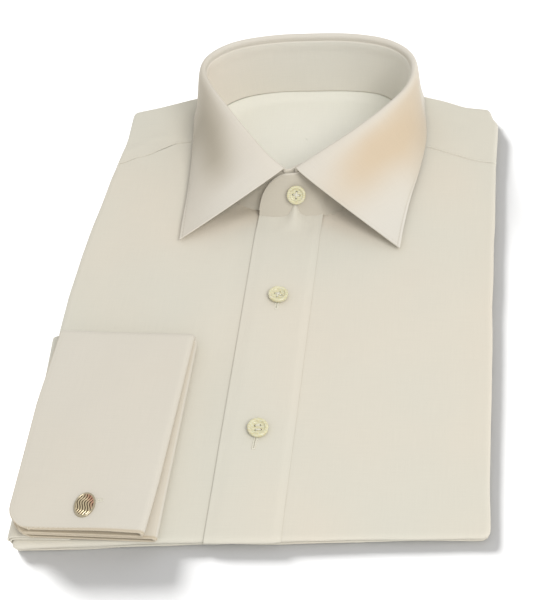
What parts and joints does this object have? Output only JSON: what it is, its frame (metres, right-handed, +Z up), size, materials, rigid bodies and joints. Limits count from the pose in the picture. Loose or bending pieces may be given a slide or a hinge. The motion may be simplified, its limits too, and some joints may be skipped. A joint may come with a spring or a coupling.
{
  "type": "folded long sleeve dress shirt",
  "caption": "Long sleeve dress shirt folded flat for the shelf, with a standing buttoned collar, placket and one turned-back cuff brought to the front.",
  "frame": {"origin": "centre of the bounding box on the surface the folded shirt lies on", "axes": "+X to the wearer's left, +Y from the bottom fold to the collar, +Z up out of the fronts"},
  "size_m": [0.266, 0.3576, 0.0513],
  "materials": {
    "cloth": "fine white-ivory cotton poplin, soft sheen, needle-turned seams",
    "collar": "the same poplin, fused and pressed",
    "cuff": "the same poplin, fused and pressed",
    "button": "pale cream, satin polish",
    "link": "polished, with a silver-coloured rim and engraved waves"
  },
  "bodies": {
    "root": {"folded_layers": "cloth", "front_right": "cloth", "front_left": "cloth", "placket": "cloth", "yoke": "cloth", "sleeve_right": "cloth", "collar_stand": "collar", "collar_fall": "collar", "cuff_right": "cuff", "cufflink": "link", "cufflink_toggle": "link", "button_2": "button", "button_3": "button", "button_collar": "button"}
  },
  "joints": []
}
